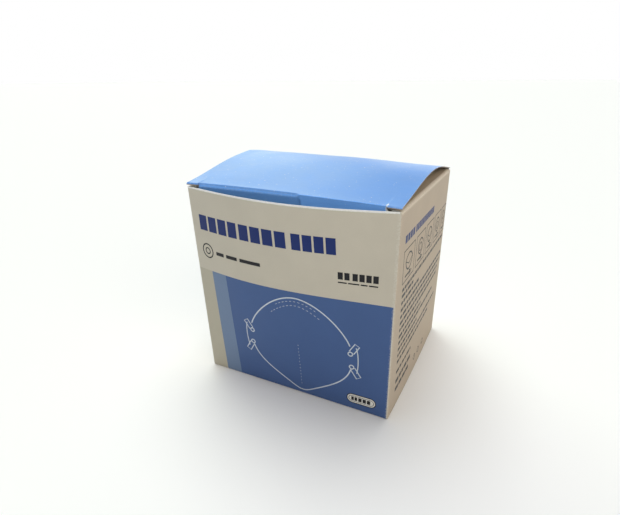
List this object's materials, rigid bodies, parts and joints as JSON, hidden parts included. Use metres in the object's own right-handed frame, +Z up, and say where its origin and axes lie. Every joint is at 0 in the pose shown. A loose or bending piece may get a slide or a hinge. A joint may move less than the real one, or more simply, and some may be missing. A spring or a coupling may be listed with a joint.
{
  "type": "tuck-top folding carton",
  "caption": "Closed tuck-top folding carton of thin printed board, with a hinged arched lid, tuck flap, dust flaps and a glued base.",
  "frame": {"origin": "centre of the carton's underside, on the plane it stands on", "axes": "+Z up, the front wall faces -Y, and +X is to the right of the front wall"},
  "size_m": [0.167, 0.1581, 0.1755],
  "materials": {
    "printed_wall": "warm light grey print on coated board, semi-matt",
    "plain_board": "unprinted white board, matt",
    "printed_lid": "light blue print on coated board, soft gloss",
    "printed_tuck": "mid blue print on coated board, soft gloss"
  },
  "bodies": {
    "carton": {"sleeve": "printed_wall", "glue_flap": "plain_board", "bottom_outer_flap": "printed_wall", "bottom_inner_flap": "plain_board", "bottom_dust_flap_left": "plain_board", "bottom_dust_flap_right": "plain_board"},
    "lid": {"lid_panel": "printed_lid"},
    "tuck": {"tuck_flap": "printed_tuck"},
    "dust_left": {"dust_flap_left": "printed_wall"},
    "dust_right": {"dust_flap_right": "printed_wall"}
  },
  "joints": [
    {"name": "lid_hinge", "type": "hinge", "parent": "carton", "child": "lid", "pos_m": [0, 0.0722, 0.1627], "axis": [-1, 0, 0], "range_deg": [0, 180]},
    {"name": "tuck_fold", "type": "hinge", "parent": "lid", "child": "tuck", "pos_m": [0, -0.0713, 0.16505], "axis": [-1, 0, 0], "range_deg": [0, 90]},
    {"name": "dust_left_fold", "type": "hinge", "parent": "carton", "child": "dust_left", "pos_m": [-0.0822, 0, 0.162], "axis": [0, -1, 0], "range_deg": [0, 90]},
    {"name": "dust_right_fold", "type": "hinge", "parent": "carton", "child": "dust_right", "pos_m": [0.0822, 0, 0.162], "axis": [0, 1, 0], "range_deg": [0, 90]}
  ],
  "couplings": [
    {"joint": "tuck_fold", "follows": "lid_hinge", "ratio": 0.5},
    {"joint": "dust_left_fold", "follows": "lid_hinge", "ratio": 0.5},
    {"joint": "dust_right_fold", "follows": "lid_hinge", "ratio": 0.5}
  ]
}
